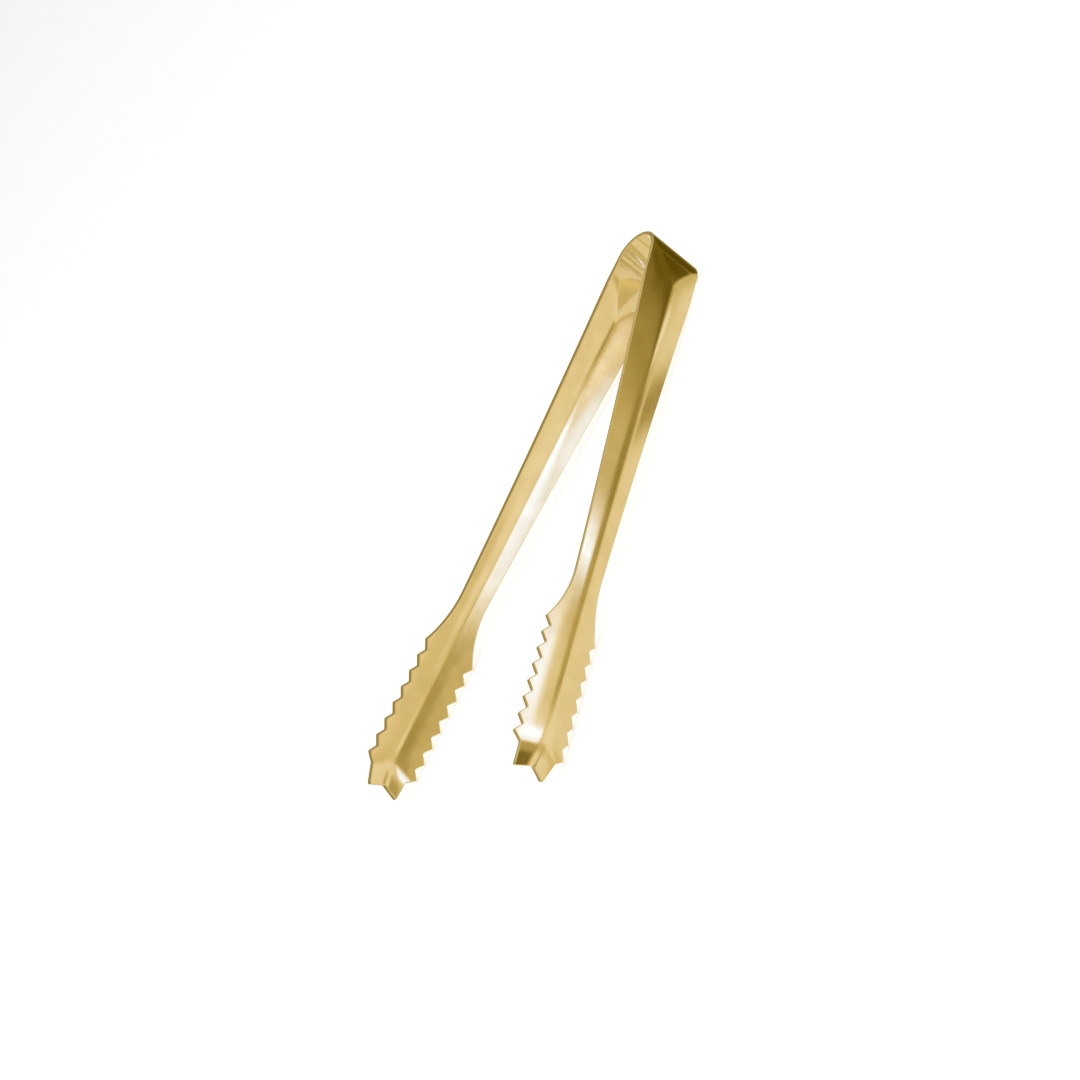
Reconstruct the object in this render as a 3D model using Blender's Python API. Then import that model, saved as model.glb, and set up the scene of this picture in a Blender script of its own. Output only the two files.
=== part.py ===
"""Ice tongs made from one strip of sheet metal, lying on their side.

The strip is bent double into a flat U, the bow, which is the spring. Each leg of the U is an
arm: a flat tongue under the bow runs out into a shallow V crease, the strip narrows to a
waist, flares into a jaw with saw-toothed edges, and ends in a forked claw that is bent inward.

World frame: +X runs from the claws to the bow, Y is the direction in which the tongs open and
+Z runs across the width of the strip. The origin is at the bottom centre of the tongs' box.
"""

import math

import bmesh
import bpy
from mathutils import Vector

MM = 0.001

# The strip and its bow
SHEET = 1.35 * MM
OVERALL_LENGTH = 178.0 * MM
BOW_WIDTH = 18.6 * MM
BOW_RADIUS = 7.2 * MM               # middle of the sheet
LEG_ANGLE = math.radians(15.0)      # how far each leg leans outward where it leaves the bow
SPLIT_GAP = 0.4 * MM                # between the bow and an arm, centred on the hinge line
BOW_STEPS = 22

# The arms, measured down from the centre of the bow
CREASE_START = 9.31 * MM            # where the crease line would meet the level of the bow's centre
CREASE_SPLAY = 0.1586               # how fast the crease line moves outward
CREASE_SAG = 0.30 * MM              # how far the crease line bows inward half way down
TONGUE_TAPER = 1.64                 # exponent of the flat tongue's narrowing
WAIST_WIDTH = 9.2 * MM
WAIST_DOWN = 109.4 * MM
TAPER_SLOPE = 0.0282
TAPER_CURVE = 0.000157 / MM

# The V pressed into the arms: a rounded crease between two slightly bowed flanks
CREASE_SLOPE = 0.155
CREASE_ROUND = 1.42 * MM
FLANK_CURVE = 0.0096 / MM

# The jaws
TOOTH_COUNT = 8
TOOTH_PITCH = 5.07 * MM             # measured along the arm
TOOTH_DOWN = 126.7 * MM             # the first tooth
JAW_WIDTH = 17.64 * MM              # over the tooth tips
NOTCH_WIDTH = 14.0 * MM             # between the bottoms of the notches
NOTCH_SHARE = 0.48                  # of a pitch, from a tooth's tip to the next notch

# The claws
CLAW_NOTCH_WIDTH = 12.3 * MM
CLAW_NOTCH_DOWN = 163.95 * MM
FANG_SPREAD = 9.8 * MM
FORK_DOWN = 167.8 * MM              # the bottom of the fork between the two fangs
CLAW_BEND_DOWN = 162.1 * MM
CLAW_BEND_CHEVRON = 0.42            # how fast the bend line moves down towards the edges
CLAW_BEND_SLOPE = 0.331
CLAW_BEND_ROUND = 0.6 * MM

# How finely the strip is divided
INNER_COLUMNS = (0.0, 0.08, 0.2, 0.4, 0.72)   # shares of the half width
TONGUE_ROWS = 9
ARM_ROWS = 14
FLARE_ROWS = 6
CLAW_ROWS = 5

# Derived places
BOW_CENTRE_X = OVERALL_LENGTH / 2 - BOW_RADIUS - SHEET / 2
FANG_DOWN = OVERALL_LENGTH - BOW_RADIUS - SHEET / 2
MIDDLE_HEIGHT = BOW_WIDTH / 2
HINGE_OUT = BOW_RADIUS / math.cos(LEG_ANGLE)
TONGUE_DOWN = (CREASE_START - HINGE_OUT) / (math.tan(LEG_ANGLE) - CREASE_SPLAY)
PITCH_DOWN = TOOTH_PITCH * math.cos(math.atan(CREASE_SPLAY))

GOLD = (0.76, 0.60, 0.27, 1.0)


def clear_scene():
    for item in list(bpy.data.objects):
        bpy.data.objects.remove(item, do_unlink=True)


def metal(name):
    """Satin gold-coloured steel."""
    material = bpy.data.materials.new(name)
    material.use_nodes = True
    shader = material.node_tree.nodes["Principled BSDF"]
    shader.inputs["Base Color"].default_value = GOLD
    shader.inputs["Metallic"].default_value = 1.0
    shader.inputs["Roughness"].default_value = 0.3
    material.diffuse_color = GOLD
    return material


def flank_slope(side):
    """Slope of a flank, at a distance from where it leaves the flat or the crease."""
    return CREASE_SLOPE * side / math.hypot(side, CREASE_ROUND) + 2 * FLANK_CURVE * side


def half_width(down):
    """Half the width of the strip's smooth outline, from the bow to the first tooth."""
    up = WAIST_DOWN - down
    if up >= 0:
        lean = flank_slope(BOW_WIDTH / 2 - tongue_half_width(down))
        shoulder = BOW_WIDTH / 2 - SHEET / 2 * lean     # keeps the leaning edge inside the bow's width
        return min(shoulder, WAIST_WIDTH / 2 + TAPER_SLOPE * up + TAPER_CURVE * up * up)
    rise = (JAW_WIDTH - WAIST_WIDTH) / 2
    run = TOOTH_DOWN - WAIST_DOWN
    radius = (run * run + rise * rise) / (2 * rise)
    return WAIST_WIDTH / 2 + radius - math.sqrt(radius * radius - up * up)


def crease_out(down):
    """Distance of the strip's middle line from the tongs' middle plane."""
    if down < TONGUE_DOWN:
        return HINGE_OUT + down * math.tan(LEG_ANGLE)
    share = (down - TONGUE_DOWN) / (FANG_DOWN - TONGUE_DOWN)
    return CREASE_START + CREASE_SPLAY * down - 4 * CREASE_SAG * share * (1 - share)


def tongue_half_width(down):
    """Half the width of the flat part that narrows away below the bow."""
    share = max(0.0, 1.0 - max(0.0, down) / TONGUE_DOWN)
    return BOW_WIDTH / 2 * share ** TONGUE_TAPER


def strip_out(across, down):
    """Distance of the middle of the sheet from the tongs' middle plane."""
    side = max(0.0, abs(across) - tongue_half_width(down))
    fold = CREASE_SLOPE * (math.hypot(side, CREASE_ROUND) - CREASE_ROUND)
    fold += FLANK_CURVE * side * side
    past = down - CLAW_BEND_DOWN - CLAW_BEND_CHEVRON * abs(across)
    bend = CLAW_BEND_SLOPE * (past + math.hypot(past, CLAW_BEND_ROUND)) / 2
    return crease_out(down) - fold - bend


def spaced(start, end, steps):
    return [start + (end - start) * i / steps for i in range(steps)]


def arm_outline():
    """Rows of (distance down, half width, half width that the inner columns share)."""
    downs = spaced(SPLIT_GAP / 2, TONGUE_DOWN, TONGUE_ROWS)
    downs += spaced(TONGUE_DOWN, WAIST_DOWN, ARM_ROWS)
    downs += spaced(WAIST_DOWN, TOOTH_DOWN, FLARE_ROWS)
    rows = [(down, half_width(down), half_width(down)) for down in downs]
    for tooth in range(TOOTH_COUNT):
        tip = TOOTH_DOWN + tooth * PITCH_DOWN
        rows.append((tip, JAW_WIDTH / 2, JAW_WIDTH / 2))
        if tooth < TOOTH_COUNT - 1:
            rows.append((tip + NOTCH_SHARE * PITCH_DOWN, NOTCH_WIDTH / 2, JAW_WIDTH / 2))
    return rows


def arm_grid():
    """Rows of (across, down) points that cover one arm from its hinge to its claw."""
    shares = [-share for share in reversed(INNER_COLUMNS[1:])] + list(INNER_COLUMNS)
    grid = []
    for down, edge, inner in arm_outline():
        grid.append([(-edge, down)] + [(share * inner, down) for share in shares] + [(edge, down)])
    for row in range(CLAW_ROWS + 1):
        step = row / CLAW_ROWS
        edge = CLAW_NOTCH_WIDTH / 2 + step * (FANG_SPREAD - CLAW_NOTCH_WIDTH) / 2
        points = []
        for share in [-1.0] + shares + [1.0]:
            end = FORK_DOWN + abs(share) * (FANG_DOWN - FORK_DOWN)
            points.append((share * edge, CLAW_NOTCH_DOWN + step * (end - CLAW_NOTCH_DOWN)))
        grid.append(points)
    return grid


def strip_object(name, grid, place, origin):
    """A sheet-metal piece: a grid of points on the middle of the sheet, made SHEET thick."""
    mesh = bpy.data.meshes.new(name)
    shape = bmesh.new()
    rows = [[shape.verts.new(place(*point) - origin) for point in row] for row in grid]
    for above, below in zip(rows, rows[1:]):
        for i in range(len(above) - 1):
            shape.faces.new((above[i], above[i + 1], below[i + 1], below[i]))
    bmesh.ops.recalc_face_normals(shape, faces=shape.faces)
    for face in shape.faces:
        face.smooth = True
    shape.to_mesh(mesh)
    shape.free()
    item = bpy.data.objects.new(name, mesh)
    item.location = origin
    bpy.context.collection.objects.link(item)
    mesh.materials.append(metal(name + "_metal"))
    sheet = item.modifiers.new("sheet", "SOLIDIFY")
    sheet.thickness = SHEET
    sheet.offset = 0.0
    sheet.use_even_offset = True
    return item


def make_bow():
    """The flat U bend between the two hinge lines."""
    start = (HINGE_OUT - SPLIT_GAP / 2 * math.tan(LEG_ANGLE), SPLIT_GAP / 2)
    line = [start]
    sweep = math.pi - 2 * LEG_ANGLE
    for step in range(BOW_STEPS + 1):
        angle = LEG_ANGLE + sweep * step / BOW_STEPS
        line.append((BOW_RADIUS * math.cos(angle), BOW_RADIUS * math.sin(angle)))
    line.append((-start[0], start[1]))
    grid = [[(edge, point) for edge in (-BOW_WIDTH / 2, BOW_WIDTH / 2)] for point in line]

    def place(across, point):
        return Vector((BOW_CENTRE_X + point[1], point[0], MIDDLE_HEIGHT + across))

    return strip_object("bow_spring", grid, place, Vector((BOW_CENTRE_X, 0.0, MIDDLE_HEIGHT)))


def make_arm(name, side):
    """One arm, on the +Y side for side 1 and on the -Y side for side -1."""

    def place(across, down):
        out = side * strip_out(across, down)
        return Vector((BOW_CENTRE_X - down, out, MIDDLE_HEIGHT + across))

    hinge = Vector((BOW_CENTRE_X, side * HINGE_OUT, MIDDLE_HEIGHT))
    return strip_object(name, arm_grid(), place, hinge)


clear_scene()
make_bow()
make_arm("arm_left", 1)
make_arm("arm_right", -1)
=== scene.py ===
"""Ice tongs: one strip of gold-coloured sheet steel bent into a U, lying on its side on a pale floor.

The strip is made as three pieces that meet edge to edge: the top of the bow, and two arms that each
run from the bow over a flat tongue and a long V crease to a saw-toothed jaw and a forked claw.

A point of the sheet is named by (across, along). Across runs over the strip's width. Along runs
down an arm, starting level with the centre of the bow, and is negative on the bow. A point in the
tongs' own directions is (across, out, down), where out is the distance from the plane half way
between the arms.
"""

import math

import bmesh
import bpy
import numpy as np
from mathutils import Matrix, Vector
from mathutils.geometry import delaunay_2d_cdt


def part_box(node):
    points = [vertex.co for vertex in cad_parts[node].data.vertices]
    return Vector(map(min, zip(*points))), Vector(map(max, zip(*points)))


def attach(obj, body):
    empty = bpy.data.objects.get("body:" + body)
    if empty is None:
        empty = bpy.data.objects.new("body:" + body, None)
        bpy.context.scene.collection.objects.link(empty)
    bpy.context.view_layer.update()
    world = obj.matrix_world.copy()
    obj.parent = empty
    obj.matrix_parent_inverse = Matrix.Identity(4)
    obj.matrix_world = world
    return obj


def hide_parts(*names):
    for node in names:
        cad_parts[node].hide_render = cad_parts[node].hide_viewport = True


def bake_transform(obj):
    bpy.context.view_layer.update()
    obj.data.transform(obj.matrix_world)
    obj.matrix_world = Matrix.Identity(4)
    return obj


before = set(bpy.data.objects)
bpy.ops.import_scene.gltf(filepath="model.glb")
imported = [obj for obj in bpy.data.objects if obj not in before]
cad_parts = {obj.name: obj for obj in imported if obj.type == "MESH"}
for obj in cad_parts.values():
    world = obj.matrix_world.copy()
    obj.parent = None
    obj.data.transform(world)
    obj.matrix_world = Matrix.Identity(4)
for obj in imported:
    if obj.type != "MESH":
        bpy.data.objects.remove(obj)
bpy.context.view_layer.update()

MM = 0.001

# The strip, as the CAD model has it
SHEET = 1.35 * MM
OVERALL_LENGTH = 178.0 * MM
BOW_RADIUS = 7.2 * MM                # middle of the sheet
LEG_ANGLE = math.radians(15.0)       # how far each leg leans outward where it leaves the bow
CREASE_START = 9.31 * MM             # where the crease line would meet the level of the bow's centre
CREASE_SPLAY = 0.1586                # how fast the crease line moves outward
CREASE_SAG = 0.30 * MM               # how far the crease line bows inward half way down
CREASE_SLOPE = 0.155                 # how steeply the V's flanks turn inward
CREASE_ROUND = 1.42 * MM
FLANK_CURVE = 0.0096 / MM
WAIST_WIDTH = 9.2 * MM
WAIST_DOWN = 109.4 * MM
TAPER_SLOPE = 0.0282                 # how the strip widens from the waist up towards the bow
TAPER_CURVE = 0.000157 / MM
TOOTH_COUNT = 8
TOOTH_PITCH = 5.07 * MM              # measured along the arm
TOOTH_DOWN = 126.7 * MM              # the first tooth
JAW_WIDTH = 17.64 * MM               # over the tooth tips
NOTCH_WIDTH = 14.0 * MM              # between the bottoms of the notches
NOTCH_SHARE = 0.48                   # of a pitch, from a tooth's tip to the next notch
CLAW_NOTCH_WIDTH = 12.3 * MM
CLAW_NOTCH_DOWN = 163.95 * MM
FANG_SPREAD = 9.8 * MM
FORK_DOWN = 167.8 * MM               # the bottom of the fork between the two fangs

# Places read from the frame
bow_low, bow_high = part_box("bow_spring")
BOW_WIDTH = bow_high.z - bow_low.z
MIDDLE_HEIGHT = (bow_high.z + bow_low.z) / 2
BOW_CENTRE_X = bow_high.x - BOW_RADIUS - SHEET / 2

# Places worked out from these
HINGE_OUT = BOW_RADIUS / math.cos(LEG_ANGLE)
FANG_DOWN = OVERALL_LENGTH - BOW_RADIUS - SHEET / 2
TONGUE_DOWN = (CREASE_START - HINGE_OUT) / (math.tan(LEG_ANGLE) - CREASE_SPLAY)
PITCH_DOWN = TOOTH_PITCH * math.cos(math.atan(CREASE_SPLAY))

# Fine shape that only the visible pieces have. A tongue is where the flat starts to narrow, where it
# ends, and how sharply it narrows.
NEAR_TONGUE = (-4.2 * MM, 9.2 * MM, 1.55)
FAR_TONGUE = (0.5 * MM, 16.0 * MM, 1.45)
CLAW_BEND_DOWN = 161.2 * MM
CLAW_BEND_CHEVRON = 0.32             # how fast the bend line moves down towards the edges
CLAW_BEND_SLOPE = 0.35
CLAW_BEND_ROUND = 2.5 * MM
EDGE_ROUND = 0.30 * MM               # worn corners of the cut edges
TIP_ROUND = 0.42 * MM                # rounding of the outline, at the teeth, notches, fangs and fork
NOTCH_ROUND = 0.35 * MM
FANG_ROUND = 0.55 * MM
FORK_ROUND = 0.5 * MM
SMOOTH_END = TOOTH_DOWN - 1.2 * MM   # where the smooth outline gives way to the first tooth

# Where the bend ends and where the pieces meet, as lengths along the strip
BEND_END_ANGLE = math.radians(8.5)   # the strip's edges leave the bend at this lean
SEAM_ANGLE = math.radians(45.0)      # where an arm meets the top of the bow, round the bend
BEND_END = -BOW_RADIUS * math.sin(BEND_END_ANGLE)
SEAM_ALONG = BEND_END - BOW_RADIUS * (SEAM_ANGLE - BEND_END_ANGLE)
CROWN_ALONG = BEND_END - BOW_RADIUS * (math.pi / 2 - BEND_END_ANGLE)

# How finely the strip is divided
EDGE_STEPS = 5                       # round a quarter of a worn corner
CORNER_STEPS = 6                     # round a corner of the outline
EDGE_STEP = 0.6 * MM                 # along the outline
COLUMN_STEP = 0.5 * MM
ROW_STEP = 0.8 * MM
FIRST_ROW = 0.75                     # of a row step, from the seam to the first row
FINE_ROW_STEP = 0.35 * MM
FINE_ROWS_FROM = 159.0 * MM          # above the claw's bend
CLEARANCE = 0.3 * MM                 # between the outline's rim and the nearest point inside it
BOW_ROWS = 61
TANGENT_STEP = 0.02 * MM
MOST_SQUEEZED = 0.5                  # limits an inset's stretch at a sharp corner to twice its depth
NEARLY_ZERO = 1e-9
TRIANGLES_INSIDE = 1                 # the triangulation's mode that keeps what the outline encloses
MERGE_DISTANCE = 1e-7                # in millimetres, below which it takes two points as one


# ---------------------------------------------------------------- the shape of the strip

def fold(side):
    """How far a flank has turned inward at a distance from the crease line or the flat tongue."""
    side = np.maximum(0.0, side)
    return CREASE_SLOPE * (np.hypot(side, CREASE_ROUND) - CREASE_ROUND) + FLANK_CURVE * side * side


def crease_out(down):
    """Distance of the crease line from the tongs' middle plane, carried on above where it starts."""
    share = (down - TONGUE_DOWN) / (FANG_DOWN - TONGUE_DOWN)
    return CREASE_START + CREASE_SPLAY * down - 4 * CREASE_SAG * share * (1 - share)


# How far the bend's end lies outside the line of the arm's edges, a step that fades down the tongue
BEND_OFFSET = BOW_RADIUS * math.cos(BEND_END_ANGLE) - crease_out(BEND_END) + fold(BOW_WIDTH / 2)


def unit(vectors):
    """The vectors at length 1."""
    return vectors / np.linalg.norm(vectors, axis=-1, keepdims=True)


class Strip:
    """The bent strip down one arm, whose flat tongue narrows from start to end."""

    def __init__(self, start, end, taper):
        self.start, self.end, self.taper = start, end, taper

    def tongue_half_width(self, down):
        """Half the width of the flat part that narrows away below the bow."""
        share = np.clip((self.end - down) / (self.end - self.start), 0.0, 1.0)
        return BOW_WIDTH / 2 * share ** self.taper

    def half_width(self, down):
        """Half the width of the strip's smooth outline, from the bow to the first tooth."""
        up = WAIST_DOWN - down
        if up >= 0:
            side = BOW_WIDTH / 2 - self.tongue_half_width(down)
            lean = CREASE_SLOPE * side / np.hypot(side, CREASE_ROUND) + 2 * FLANK_CURVE * side
            shoulder = BOW_WIDTH / 2 - SHEET / 2 * lean     # keeps the leaning edge inside the bow's width
            return min(shoulder, WAIST_WIDTH / 2 + TAPER_SLOPE * up + TAPER_CURVE * up * up)
        rise = (JAW_WIDTH - WAIST_WIDTH) / 2
        run = TOOTH_DOWN - WAIST_DOWN
        radius = (run * run + rise * rise) / (2 * rise)
        return WAIST_WIDTH / 2 + radius - math.sqrt(radius * radius - up * up)

    def middle(self, across, along):
        """Points on the middle of the sheet, as (across, out, down)."""
        share = np.clip((TONGUE_DOWN - along) / (TONGUE_DOWN - BEND_END), 0.0, 1.0)
        edge = crease_out(along) - fold(BOW_WIDTH / 2) + BEND_OFFSET * share * share * (3 - 2 * share)
        past = along - CLAW_BEND_DOWN - CLAW_BEND_CHEVRON * np.abs(across)
        edge = edge - CLAW_BEND_SLOPE * (past + np.hypot(past, CLAW_BEND_ROUND)) / 2
        angle = BEND_END_ANGLE + (BEND_END - along) / BOW_RADIUS
        on_bow = along < BEND_END
        down = np.where(on_bow, -BOW_RADIUS * np.sin(angle), along)
        flat = self.tongue_half_width(down)
        bulge = fold(BOW_WIDTH / 2 - flat) - fold(np.abs(across) - flat)
        out = np.where(on_bow, BOW_RADIUS * np.cos(angle), edge) + bulge
        return np.stack([across, out, down], -1)

    def tangents(self, across, along):
        """Directions in the sheet, over its width and down its length."""
        step = TANGENT_STEP
        return (self.middle(across + step, along) - self.middle(across - step, along),
                self.middle(across, along + step) - self.middle(across, along - step))

    def outward(self, across, along):
        """Normals of the sheet's outer face."""
        by_across, by_along = self.tangents(across, along)
        return unit(np.cross(by_along, by_across))


# ---------------------------------------------------------------- the outline of an arm

def rounded(corners):
    """A path through corners (point, radius), with an arc at each corner that has a radius."""
    path = []
    for i, (point, radius) in enumerate(corners):
        if radius == 0:
            path.append(point)
            continue
        before = unit(corners[i - 1][0] - point)
        after = unit(corners[i + 1][0] - point)
        half = math.acos(np.clip(before @ after, -1, 1)) / 2
        centre = point + unit(before + after) * radius / math.sin(half)
        start = point + before * radius / math.tan(half) - centre
        end = point + after * radius / math.tan(half) - centre
        turn = math.pi - 2 * half
        for k in range(CORNER_STEPS + 1):
            share = k / CORNER_STEPS
            mixed = start * math.sin((1 - share) * turn) + end * math.sin(share * turn)
            path.append(centre + mixed / math.sin(turn))
    return path


def one_side(bent):
    """The outline of one side of an arm, from the seam down to the fork."""
    corners = []
    count = round((SMOOTH_END - SEAM_ALONG) / EDGE_STEP)
    for along in np.linspace(SEAM_ALONG, SMOOTH_END, count + 1):
        wide = BOW_WIDTH / 2 if along < 0 else bent.half_width(along)
        corners.append((np.array([wide, along]), 0))
    for i in range(TOOTH_COUNT):
        tip = TOOTH_DOWN + i * PITCH_DOWN
        corners.append((np.array([JAW_WIDTH / 2, tip]), TIP_ROUND))
        if i < TOOTH_COUNT - 1:
            corners.append((np.array([NOTCH_WIDTH / 2, tip + NOTCH_SHARE * PITCH_DOWN]), NOTCH_ROUND))
    corners.append((np.array([CLAW_NOTCH_WIDTH / 2, CLAW_NOTCH_DOWN]), NOTCH_ROUND))
    corners.append((np.array([FANG_SPREAD / 2, FANG_DOWN]), FANG_ROUND))
    corners.append((np.array([0.0, FORK_DOWN]), FORK_ROUND))
    corners.append((np.array([-FANG_SPREAD / 2, FANG_DOWN]), 0))
    path = np.array(rounded(corners)[:-1])
    return path[path[:, 0] > -NEARLY_ZERO]


def refined(path, longest):
    """The path with points added so that no step is longer than longest."""
    points = [path[0]]
    for a, b in zip(path[:-1], path[1:]):
        count = max(1, math.ceil(np.linalg.norm(b - a) / longest))
        points += [a + (b - a) * k / count for k in range(1, count + 1)]
    return np.array(points)


def arm_outline(bent):
    """The whole outline of an arm but for the seam, from the +across side round the claw."""
    side = refined(one_side(bent), EDGE_STEP)
    side[-1, 0] = 0.0
    return np.concatenate([side, side[-2::-1] * [-1, 1]])


def edge_directions(path):
    """Outward directions in the flat outline, and how far a corner's inset has to be stretched."""
    step = unit(np.diff(path, axis=0))
    side = np.stack([step[:, 1], -step[:, 0]], -1)
    before = np.concatenate([side[:1], side])
    after = np.concatenate([side, side[-1:]])
    mean = unit(before + after)
    stretch = 1 / np.maximum(MOST_SQUEEZED, (mean * before).sum(-1))
    mean[0], mean[-1] = [1, 0], [-1, 0]
    return mean, stretch


def inside(points, ring, clearance):
    """Which points lie inside the closed ring and at least clearance from it."""
    a, b = ring, np.roll(ring, -1, axis=0)
    px, py = points[:, :1], points[:, 1:]
    crosses = (a[:, 1] > py) != (b[:, 1] > py)
    with np.errstate(divide="ignore", invalid="ignore"):
        at = a[:, 0] + (py - a[:, 1]) / (b[:, 1] - a[:, 1]) * (b[:, 0] - a[:, 0])
    within = (crosses & (px < at)).sum(1) % 2 == 1
    span = b - a
    share = ((px - a[:, 0]) * span[:, 0] + (py - a[:, 1]) * span[:, 1]) / (span * span).sum(-1)
    share = np.clip(share, 0, 1)
    gap = np.hypot(px - a[:, 0] - share * span[:, 0], py - a[:, 1] - share * span[:, 1])
    return within & (gap.min(1) > clearance)


# ---------------------------------------------------------------- meshes

# Places over the strip's width, and the sine and cosine of each step round a worn corner
COLUMNS = np.linspace(-1, 1, 2 * round((BOW_WIDTH / 2 - EDGE_ROUND) / COLUMN_STEP) + 1)
COLUMNS = COLUMNS * (BOW_WIDTH / 2 - EDGE_ROUND)
PROFILE = [(math.sin(k / EDGE_STEPS * math.pi / 2), math.cos(k / EDGE_STEPS * math.pi / 2))
           for k in range(EDGE_STEPS + 1)]


def rim_height(k, face):
    """Height of ring k of the rounded cut edge over the sheet's middle, on its outer (1) or inner (-1)
    face."""
    return face * (SHEET / 2 - EDGE_ROUND * (1 - PROFILE[k][1]))


def placed(points, side):
    """(across, out, down) as places in the frame, for the arm on side +1 or -1 of the middle."""
    across, out, down = np.moveaxis(points, -1, 0)
    return np.stack([BOW_CENTRE_X - down, side * out, MIDDLE_HEIGHT + across], -1)


def turned(vectors, side):
    """Directions in (across, out, down) as directions in the frame."""
    across, out, down = np.moveaxis(vectors, -1, 0)
    return np.stack([-down, side * out, across], -1)


def make_mesh(name, points, faces, corner_normals, strip, cut):
    """A mesh with a normal for each face corner, a map of the flat strip in millimetres and a mask
    of the cut edge."""
    mesh = bpy.data.meshes.new(name)
    mesh.from_pydata(points.tolist(), [], faces)
    mesh.update()
    flat = mesh.uv_layers.new(name="Strip")
    loops = np.array([v for face in faces for v in face])
    flat.data.foreach_set("uv", (strip[loops] / MM).astype(np.float32).ravel())
    mask = mesh.attributes.new("cut_edge", "FLOAT", "POINT")
    mask.data.foreach_set("value", cut.astype(np.float32))
    mesh.shade_smooth()
    mesh.normals_split_custom_set([normal for face in corner_normals for normal in face])
    obj = bpy.data.objects.new(name, mesh)
    bpy.context.scene.collection.objects.link(obj)
    return obj


class Shell:
    """Collects the points of a closed sheet and the normals of its face corners."""

    def __init__(self):
        self.points, self.normals, self.strip, self.cut = [], [], [], []
        self.faces, self.corners = [], []
        self.count = 0

    def add(self, points, normals, strip, cut):
        """Adds points, their normals and their places on the flat strip, and returns their indices."""
        first = self.count
        self.points.append(points)
        self.normals.append(normals)
        self.strip.append(strip)
        self.cut.append(np.full(len(points), float(cut)))
        self.count += len(points)
        return np.arange(first, self.count)

    def face(self, indices, normal=None):
        """Adds a face that is flat with the given normal, or smooth without one."""
        self.faces.append([int(i) for i in indices])
        self.corners.append(normal)

    def ribbon(self, a, b):
        """Quads between two rows of the same length."""
        for i in range(len(a) - 1):
            self.face([a[i], a[i + 1], b[i + 1], b[i]])

    def build(self, name, side):
        """The finished object, mirrored where side is -1."""
        points = placed(np.concatenate(self.points), side)
        normals = turned(np.concatenate(self.normals), side)
        strip = np.concatenate(self.strip)
        if side < 0:
            strip[:, 1] = 2 * CROWN_ALONG - strip[:, 1]
        faces, corners = [], []
        for face, own in zip(self.faces, self.corners):
            face = face[::side]
            faces.append(face)
            corners.append([normals[i] if own is None else turned(own, side) for i in face])
        return make_mesh(name, points, faces, corners, strip, np.concatenate(self.cut))


def cut_rings(shell, bent, path, sideways, stretch):
    """The rounded cut edge as rows of points, from the outer face's rim to the inner face's."""
    rows = []
    steps = range(EDGE_STEPS + 1)
    order = [(k, 1) for k in steps] + [(k, -1) for k in reversed(steps)]
    for k, face in order:
        sine, cosine = PROFILE[k]
        inset = path - sideways * (EDGE_ROUND * (1 - sine) * stretch)[:, None]
        up = bent.outward(inset[:, 0], inset[:, 1])
        by_across, by_along = bent.tangents(inset[:, 0], inset[:, 1])
        away = unit(sideways[:, :1] * unit(by_across) + sideways[:, 1:] * unit(by_along))
        points = bent.middle(inset[:, 0], inset[:, 1]) + up * rim_height(k, face)
        normals = unit(up * cosine * face + away * sine)
        rows.append(shell.add(points, normals, inset, k == EDGE_STEPS))
    return rows


def fill_points(rim):
    """The seam's points, the points inside the outline, and triangles over all of them and the rim."""
    seam = np.stack([COLUMNS[1:-1], np.full(len(COLUMNS) - 2, SEAM_ALONG)], -1)
    ring = np.concatenate([rim, seam])
    rows = np.concatenate([np.arange(SEAM_ALONG + ROW_STEP * FIRST_ROW, FINE_ROWS_FROM, ROW_STEP),
                           np.arange(FINE_ROWS_FROM, FANG_DOWN, FINE_ROW_STEP)])
    grid = np.stack(np.meshgrid(COLUMNS, rows), -1).reshape(-1, 2)
    grid = grid[inside(grid, ring, CLEARANCE)]
    flat = np.concatenate([ring, grid])
    loop = [(i, (i + 1) % len(ring)) for i in range(len(ring))]
    found, _, triangles, sources, _, _ = delaunay_2d_cdt(
        [Vector(point) for point in flat / MM], loop, [], TRIANGLES_INSIDE, MERGE_DISTANCE)
    assert len(found) == len(flat), "the outline crosses itself"
    return seam, grid, [[sources[i][0] for i in triangle] for triangle in triangles]


def make_arm(name, side, tongue):
    """An arm from its seam with the bow to its claw: two faces, the cut edge and the seam's end."""
    bent = Strip(*tongue)
    path = arm_outline(bent)
    sideways, stretch = edge_directions(path)
    shell = Shell()
    rings = cut_rings(shell, bent, path, sideways, stretch)
    for a, b in zip(rings[:-1], rings[1:]):
        shell.ribbon(a, b)

    rim = path - sideways * (EDGE_ROUND * stretch)[:, None]
    seam, grid, triangles = fill_points(rim)
    inner = np.concatenate([seam, grid])
    up = bent.outward(inner[:, 0], inner[:, 1])
    base = bent.middle(inner[:, 0], inner[:, 1])
    outer_face = np.concatenate([rings[0], shell.add(base + up * SHEET / 2, up, inner, 0)])
    inner_face = np.concatenate([rings[-1], shell.add(base - up * SHEET / 2, -up, inner, 0)])
    for a, b, c in triangles:
        shell.face([outer_face[a], outer_face[c], outer_face[b]])
        shell.face([inner_face[a], inner_face[b], inner_face[c]])

    on_seam = slice(len(path), len(path) + len(seam))
    top = [rings[0][-1], *outer_face[on_seam], rings[0][0]]
    low = [rings[-1][-1], *inner_face[on_seam], rings[-1][0]]
    end = -unit(bent.tangents(np.zeros(1), np.full(1, SEAM_ALONG))[1][0])
    close_end(shell, top, low, [ring[-1] for ring in rings], [ring[0] for ring in rings], end)
    return shell.build(name, side)


def close_end(shell, top, low, minus_rim, plus_rim, normal, way=1):
    """A flat end across the sheet: quads between its faces, and the rims at both sides. Way turns the
    faces over."""
    for i in range(len(top) - 1):
        shell.face([top[i], top[i + 1], low[i + 1], low[i]][::way], normal)
    shell.face(minus_rim[::-way], normal)
    shell.face(plus_rim[::way], normal)


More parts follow.
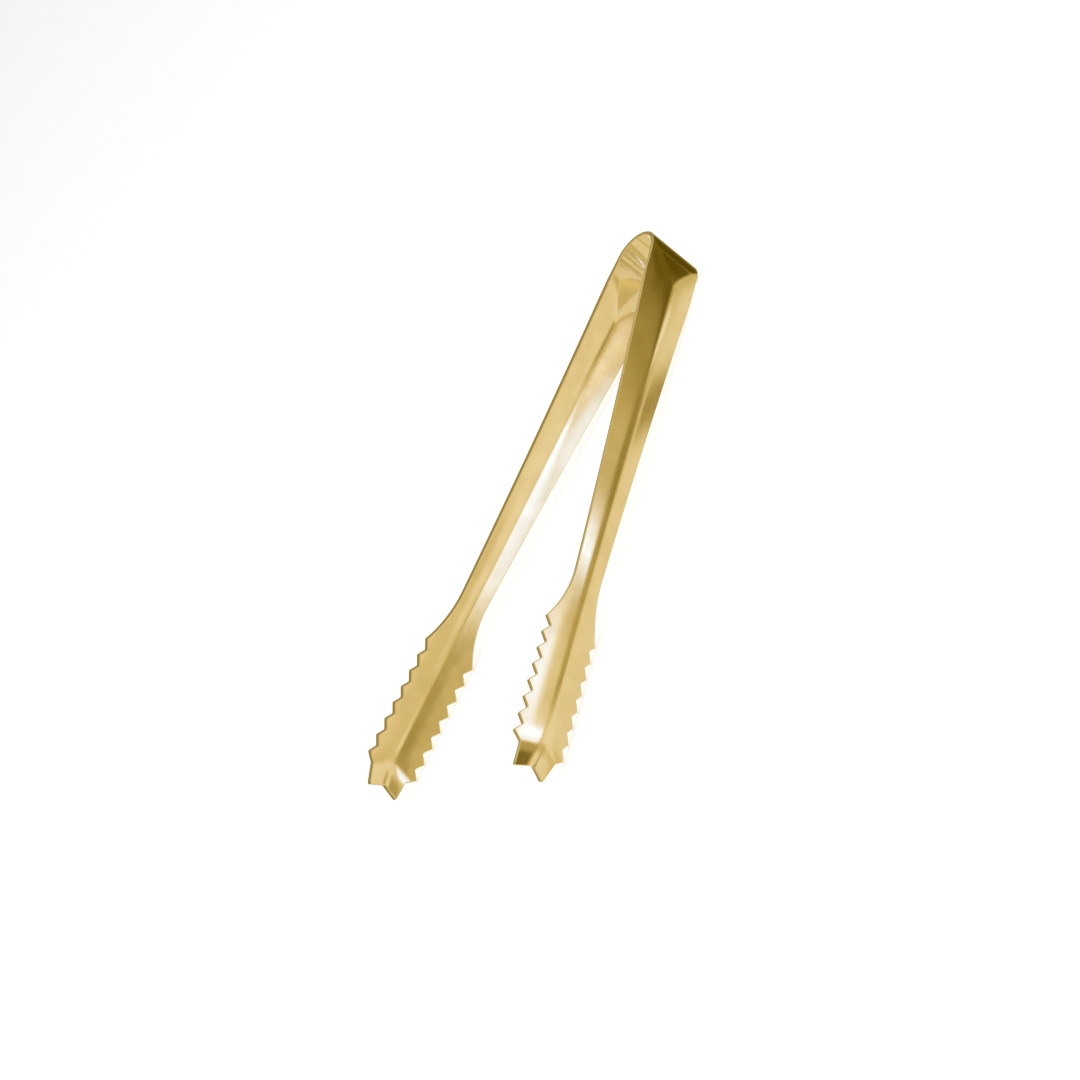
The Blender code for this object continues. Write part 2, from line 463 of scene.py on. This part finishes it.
def make_bow(name):
    """The top of the bow, from one arm's seam over the crown to the other's."""
    shell = Shell()
    bent = Strip(*NEAR_TONGUE)
    edge = BOW_WIDTH / 2
    last_along = 2 * CROWN_ALONG - SEAM_ALONG
    loops = []
    for along in np.linspace(SEAM_ALONG, last_along, BOW_ROWS):
        path = np.array([[edge, along], [-edge, along]])
        rims = cut_rings(shell, bent, path, np.array([[1.0, 0.0], [-1.0, 0.0]]), np.ones(2))
        flat = np.stack([COLUMNS[1:-1], np.full(len(COLUMNS) - 2, along)], -1)
        up = bent.outward(flat[:, 0], flat[:, 1])
        base = bent.middle(flat[:, 0], flat[:, 1])
        outer = shell.add(base + up * SHEET / 2, up, flat, 0)
        inner = shell.add(base - up * SHEET / 2, -up, flat, 0)
        plus = [rim[0] for rim in rims]
        minus = [rim[1] for rim in rims]
        loops.append((minus, outer, plus, inner))
    rings = [[*minus[::-1], *outer, *plus, *inner[::-1]] for minus, outer, plus, inner in loops]
    for a, b in zip(rings[:-1], rings[1:]):
        shell.ribbon([*a, a[0]], [*b, b[0]])
    for (minus, outer, plus, inner), along, way in ((loops[0], SEAM_ALONG, 1), (loops[-1], last_along, -1)):
        normal = unit(bent.tangents(np.zeros(1), np.full(1, along))[1][0]) * way
        top, low = [minus[0], *outer, plus[0]], [minus[-1], *inner, plus[-1]]
        close_end(shell, top, low, minus, plus, normal, -way)
    return shell.build(name, 1)


# ---------------------------------------------------------------- the three pieces

bow = make_bow("bow_top")
left = make_arm("left_arm_strip", 1, FAR_TONGUE)
right = make_arm("right_arm_strip", -1, NEAR_TONGUE)

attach(bow, "bow")
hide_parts("bow_spring")
for arm, side, body, node in ((left, 1, "left_arm", "arm_left"), (right, -1, "right_arm", "arm_right")):
    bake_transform(arm)
    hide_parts(node)


# ---------------------------------------------------------------- node helpers

class Nodes:
    """Adds nodes to a tree. A value given to an input is a number, a vector, a colour or a socket."""

    def __init__(self, tree):
        self.tree = tree

    def add(self, kind, inputs=(), output=0, **settings):
        """Adds a node, and returns one of its outputs."""
        node = self.tree.nodes.new(kind)
        for name, value in settings.items():
            setattr(node, name, value)
        for key, value in dict(inputs).items():
            self.connect(value, node.inputs[key])
        return node.outputs[output] if len(node.outputs) else None

    def connect(self, value, socket):
        """Links a socket to another, or sets its value."""
        if isinstance(value, bpy.types.NodeSocket):
            self.tree.links.new(value, socket)
        elif isinstance(value, tuple) and len(value) == 3 and len(socket.default_value) == 4:
            socket.default_value = (*value, 1.0)
        else:
            socket.default_value = value

    def math(self, operation, *values):
        return self.add("ShaderNodeMath", dict(enumerate(values)), operation=operation)

    def vector(self, operation, *values, output=0):
        return self.add("ShaderNodeVectorMath", dict(enumerate(values)), output, operation=operation)

    def dot(self, a, b):
        return self.vector("DOT_PRODUCT", a, b, output="Value")

    def step(self, value, start, end, low=0.0, high=1.0):
        """Low before start, high after end, and smooth between them."""
        return self.add("ShaderNodeMapRange", {0: value, 1: start, 2: end, 3: low, 4: high},
                        interpolation_type="SMOOTHSTEP")

    def mix(self, share, a, b):
        """A colour between a and b, from the Mix node's sockets for colours."""
        return self.add("ShaderNodeMix", {0: share, 6: a, 7: b}, output=2, data_type="RGBA")

    def ramp(self, value, stops):
        """The colour at a value from 0 to 1, between stops of (value, colour)."""
        socket = self.add("ShaderNodeValToRGB", {"Fac": value})
        elements = socket.node.color_ramp.elements
        while len(elements) < len(stops):
            elements.new(0.5)
        for element, (place, shade) in zip(elements, stops):
            element.position = place
            element.color = (*shade, 1.0)
        return socket

    def stretched(self, vector, scale, angle=0.0):
        """The vector scaled along each axis, then turned round the third."""
        return self.add("ShaderNodeMapping", {"Vector": vector, "Scale": scale, "Rotation": (0, 0, angle)})

    def noise(self, vector, scale=1.0, detail=2.0, roughness=0.5, distortion=0.0):
        return self.add("ShaderNodeTexNoise", {"Vector": vector, "Scale": scale, "Detail": detail,
                                               "Roughness": roughness, "Distortion": distortion})


# ---------------------------------------------------------------- material

DEEP_GOLD, PALE_GOLD = (0.728, 0.548, 0.224), (0.770, 0.590, 0.255)
SCRATCH_COLOUR = (0.80, 0.63, 0.30)
CUT_COLOUR = (0.40, 0.29, 0.095)     # the sheared edge of the sheet
MIRRORED_COLOUR = (0.97, 0.95, 0.92)
GRAIN = (3.0, 0.08, 1.0)             # lines per millimetre over the strip and along it
GRAIN_RANGE = (0.3, 0.7)             # noise between which it goes from none to all, here and below
SCRATCHES = (5.0, 0.12, 1.0)
SCRATCH_TURN = 0.5                   # radians within the noise, so that scratches don't follow the grain
SCRATCH_RANGE = (0.68, 0.74)
CLOUD_SCALE = 0.12                   # patches per millimetre
CLOUD_RANGE = (0.35, 0.65)
SMEAR_SCALE = 0.35
SMEAR_RANGE = (0.4, 0.7)
GRAIN_ROUGHNESS = (0.085, 0.13)      # in the grain's valleys and on its ridges
SMEAR_ROUGHNESS = 0.02               # these four add to it
SCRATCH_ROUGHNESS = 0.08
CUT_ROUGHNESS = 0.15
DEEPER_ROUGHNESS = 0.04              # for each reflection that the metal is seen over
MOST_DEEPER = 3.0                    # reflections that count towards it
DEEP_GLOW = (0.30, 0.29, 0.27)
GLOW_AFTER = 2.5                     # metal that is seen over three or more reflections glows
BUMP_STRENGTH = 0.012
BUMP_HEIGHT = 0.1 * MM


def gold_steel():
    """Polished gold-coloured steel: grain and hairlines along the strip, smears and dull cut edges.
    Metal that is seen in other metal is paler, because the gold would otherwise darken with every
    reflection between the arms, and it glows in the end, because light is only followed so far."""
    material = bpy.data.materials.new("gold_steel")
    material.use_nodes = True
    make = Nodes(material.node_tree)
    shader = material.node_tree.nodes["Principled BSDF"]
    strip = make.add("ShaderNodeUVMap", uv_map="Strip")
    grain = make.noise(make.stretched(strip, GRAIN), detail=4.0, roughness=0.65)
    cloud = make.step(make.noise(strip, CLOUD_SCALE), *CLOUD_RANGE)
    smear = make.step(make.noise(strip, SMEAR_SCALE, detail=3.0, distortion=0.6), *SMEAR_RANGE)
    scratch = make.noise(make.stretched(strip, SCRATCHES, SCRATCH_TURN), detail=1.0)
    scratch = make.step(scratch, *SCRATCH_RANGE)
    cut = make.add("ShaderNodeAttribute", output="Fac", attribute_name="cut_edge")
    mirrored = make.add("ShaderNodeLightPath", output="Is Glossy Ray")
    deeper = make.add("ShaderNodeLightPath", output="Glossy Depth")

    colour = make.mix(cloud, DEEP_GOLD, PALE_GOLD)
    colour = make.mix(scratch, colour, SCRATCH_COLOUR)
    colour = make.mix(cut, colour, CUT_COLOUR)
    colour = make.mix(mirrored, colour, MIRRORED_COLOUR)
    make.connect(colour, shader.inputs["Base Color"])

    rough = make.step(grain, *GRAIN_RANGE, *GRAIN_ROUGHNESS)
    for share, more in ((smear, SMEAR_ROUGHNESS), (scratch, SCRATCH_ROUGHNESS), (cut, CUT_ROUGHNESS),
                        (make.math("MINIMUM", deeper, MOST_DEEPER), DEEPER_ROUGHNESS)):
        rough = make.math("MULTIPLY_ADD", share, more, rough)
    make.connect(rough, shader.inputs["Roughness"])

    bump = make.add("ShaderNodeBump", {"Height": grain, "Strength": BUMP_STRENGTH, "Distance": BUMP_HEIGHT})
    make.connect(bump, shader.inputs["Normal"])
    shader.inputs["Metallic"].default_value = 1.0
    shader.inputs["Emission Color"].default_value = (*DEEP_GLOW, 1.0)
    make.connect(make.math("GREATER_THAN", deeper, GLOW_AFTER), shader.inputs["Emission Strength"])
    material.cycles.emission_sampling = "NONE"
    return material


gold = gold_steel()
for piece in (bow, left, right):
    piece.data.materials.append(gold)


# ---------------------------------------------------------------- floor

FLOOR_REACH = 20.0                   # metres from the middle to each side
FLOOR_DROP = 0.2 * MM                # keeps the floor clear of the strip's edges
FLOOR_SHADE = 0.9
FLOOR_GLOW = 0.75

floor_mesh = bpy.data.meshes.new("floor")
corners = [(x * FLOOR_REACH, y * FLOOR_REACH, 0) for x, y in ((-1, -1), (1, -1), (1, 1), (-1, 1))]
floor_mesh.from_pydata(corners, [], [(0, 1, 2, 3)])
floor = bpy.data.objects.new("floor", floor_mesh)
floor.location.z = -FLOOR_DROP
floor.visible_glossy = False         # the metal sees the dome's table instead
bpy.context.scene.collection.objects.link(floor)

pale = bpy.data.materials.new("pale_floor")
pale.use_nodes = True
pale_inputs = pale.node_tree.nodes["Principled BSDF"].inputs
pale_inputs["Base Color"].default_value = (FLOOR_SHADE, FLOOR_SHADE, FLOOR_SHADE, 1)
pale_inputs["Specular IOR Level"].default_value = 0.0
pale_inputs["Emission Color"].default_value = (1, 1, 1, 1)
pale_inputs["Emission Strength"].default_value = FLOOR_GLOW
floor_mesh.materials.append(pale)


# ---------------------------------------------------------------- what the metal mirrors

# Only reflections see the dome: a pale table below, a pale cloth above, and soft-edged cards on them.
# Azimuth 0 is along -Y and 90 along +X, in degrees. A level of 1 shows the metal in its own colour.
DOME_RADIUS = 0.3
DOME_CENTRE = Vector((0, 0, 0.01))
CLOTH = 0.78
TABLE = 0.99
TABLE_EDGE = (-37.0, -29.0)          # elevations between which the table gives way to the cloth
CARDS = (                            # azimuth, elevation, roll, half width, half height, border, level
    # the table towards the far arm
    (-8, -46, 0, 9, 10, 8, 0.87),
    (15, -38, 0, 11, 14, 8, 1.04),
    (5, -56, 0, 9, 6, 6, 0.86),
    # the far arm's folded flank and the near jaw
    (-9, -11, 0, 8, 12, 5, 0.57),
    (11, -9, 0, 11, 12, 8, 1.26),
    (15, -9, 0, 5, 9, 6, 1.32),
    # the near arm's upper flank
    (46, -22, 0, 18, 10, 8, 0.60),
    (49, -22, 0, 8, 8, 6, 0.42),
    (26, -1, 0, 6, 7, 9, 1.28),
    (26, -13, 0, 5, 5, 6, 0.95),
    (44, -5, 0, 7, 9, 6, 0.76),
    (36, -10, 0, 2.2, 7, 3.5, 1.34),
    (52, -6, 0, 5, 10, 5, 0.46),
    # the bow's outside and the near arm's tongue
    (87, -3, 0, 31, 20, 5, 0.2),
    (57.5, -10, 0, 3.5, 12, 3, 0.18),
    (57, 2, 0, 4, 4, 3, 0.3),
    (88, -19, 0, 12, 4, 6, 0.12),
    (110, -18, 0, 8, 9, 6, 0.32),
    (60, -29, -35, 5, 2, 4, 1.15),
    (65, -41, -38, 8, 1.8, 3, 0.42),
    # the bow's inside
    (180, 29, 0, 9, 7, 6, 1.3),
    (-143, -21.5, 0, 8, 5.5, 4, 1.4),
    (-165, -28, 0, 12, 8, 6, 1.05),
    (-131, -32, 0, 11, 2.5, 4, 0.55),
    (-77, -31, 0, 33, 4, 3, 1.0),
    (-28, -31, 0, 12, 3, 4, 1.1),
    # the claws and the near jaw's crease
    (-14.5, -15, 0, 2.8, 6, 2, 0.2),
    (-14, -33, 0, 3.5, 8, 3, 1.03),
    (28.5, -27, 12, 1, 7, 2, 0.5),
)
CARD_FRONT = (0.0, 0.1)              # cosines between which the far side gives way to a card's own side
TONES = (                            # the light at each level, from warm shadows to cool highlights
    (0.0, (0.02, 0.012, 0.0005)), (0.064, (0.064, 0.046, 0.0025)), (0.16, (0.16, 0.123, 0.005)),
    (0.31, (0.31, 0.253, 0.071)), (0.45, (0.45, 0.386, 0.154)), (0.65, (0.65, 0.58, 0.32)),
    (0.78, (0.78, 0.73, 0.50)), (0.925, (0.925, 0.88, 0.77)), (1.01, (1.01, 1.01, 1.05)),
    (1.11, (1.11, 1.18, 1.57)), (1.21, (1.21, 1.39, 2.54)), (1.28, (1.28, 1.66, 3.67)),
    (1.4, (1.5, 2.2, 5.5)))
TOP_LEVEL = TONES[-1][0]
BRIGHTEST = max(TONES[-1][1])


def around(azimuth, elevation):
    """The unit vector to a place in the studio."""
    azimuth, elevation = math.radians(azimuth), math.radians(elevation)
    return Vector((math.sin(azimuth) * math.cos(elevation), -math.cos(azimuth) * math.cos(elevation),
                   math.sin(elevation)))


def facing(azimuth, elevation, roll):
    """Unit vectors to the side, to the top and outward, for something that faces the tongs."""
    outward = around(azimuth, elevation)
    side = around(azimuth + 90, 0)
    high = outward.cross(side)
    roll = math.radians(roll)
    return (side * math.cos(roll) + high * math.sin(roll), high * math.cos(roll) - side * math.sin(roll),
            outward)


def grey(level):
    """A level as a share of the highest one, in all three channels."""
    return (level / TOP_LEVEL,) * 3


def card_mask(make, direction, azimuth, elevation, roll, half_width, half_height, border):
    """1 on a soft-edged rectangle in the studio, and 0 off it; sizes are in degrees."""
    *axes, outward = facing(azimuth, elevation, roll)
    depth = make.dot(direction, outward)
    mask = make.step(depth, *CARD_FRONT)
    for axis, half in zip(axes, (half_width, half_height)):
        off = make.math("ARCTAN2", make.dot(direction, axis), depth)
        off = make.math("DEGREES", make.math("ABSOLUTE", off))
        mask = make.math("MULTIPLY", mask, make.step(off, half - border / 2, half + border / 2, 1.0, 0.0))
    return mask


def dome_light():
    """The material of the dome: a level for each direction, and the light that goes with it."""
    material = bpy.data.materials.new("light_dome")
    material.use_nodes = True
    material.node_tree.nodes.clear()
    make = Nodes(material.node_tree)
    place = make.add("ShaderNodeNewGeometry")
    direction = make.vector("NORMALIZE", make.vector("SUBTRACT", place, DOME_CENTRE))
    height = make.add("ShaderNodeSeparateXYZ", {"Vector": direction}, output="Z")
    elevation = make.math("DEGREES", make.math("ARCSINE", height))
    level = make.mix(make.step(elevation, *TABLE_EDGE), grey(TABLE), grey(CLOTH))
    for *card, card_level in CARDS:
        level = make.mix(card_mask(make, direction, *card), level, grey(card_level))
    stops = [(tone / TOP_LEVEL, tuple(part / BRIGHTEST for part in shade)) for tone, shade in TONES]
    light = make.add("ShaderNodeEmission", {"Color": make.ramp(level, stops), "Strength": BRIGHTEST})
    make.add("ShaderNodeOutputMaterial", {"Surface": light})
    material.cycles.emission_sampling = "NONE"
    return material


bm = bmesh.new()
bmesh.ops.create_icosphere(bm, subdivisions=5, radius=DOME_RADIUS)
dome_mesh = bpy.data.meshes.new("light_dome")
bm.to_mesh(dome_mesh)
bm.free()
dome_mesh.materials.append(dome_light())
dome = bpy.data.objects.new("light_dome", dome_mesh)
dome.location = DOME_CENTRE
dome.visible_camera = dome.visible_diffuse = dome.visible_shadow = False
bpy.context.scene.collection.objects.link(dome)


# ---------------------------------------------------------------- backdrop, lamp and camera

LAMP_SIZE = 1.5
LAMP_POWER = 12
LAMP_PLACE = (-0.3, -0.2, 1.5)
CAMERA_AIM = Vector((-9.024, 8.896, 6.75)) * MM
CAMERA_AZIMUTH = -28.351
CAMERA_ELEVATION = 27.688
CAMERA_ROLL = -54.057
CAMERA_DISTANCE = 751.2 * MM
CAMERA_LENS = 89.1
CAMERA_CLIP = (0.05, 50)

world = bpy.data.worlds.new("white")
world.use_nodes = True
world.node_tree.nodes["Background"].inputs["Color"].default_value = (1, 1, 1, 1)
world.cycles_visibility.diffuse = False
bpy.context.scene.world = world
bpy.context.scene.view_settings.view_transform = "Standard"

lamp = bpy.data.lights.new("overhead", "AREA")
lamp.size = LAMP_SIZE
lamp.energy = LAMP_POWER
overhead = bpy.data.objects.new("overhead", lamp)
overhead.location = LAMP_PLACE
overhead.visible_glossy = False
bpy.context.scene.collection.objects.link(overhead)

camera = bpy.data.objects.new("camera", bpy.data.cameras.new("camera"))
turn = Matrix(facing(CAMERA_AZIMUTH, CAMERA_ELEVATION, CAMERA_ROLL)).transposed()
spot = CAMERA_AIM + around(CAMERA_AZIMUTH, CAMERA_ELEVATION) * CAMERA_DISTANCE
camera.matrix_world = Matrix.Translation(spot) @ turn.to_4x4()
camera.data.lens = CAMERA_LENS
camera.data.clip_start, camera.data.clip_end = CAMERA_CLIP
bpy.context.scene.collection.objects.link(camera)
bpy.context.scene.camera = camera
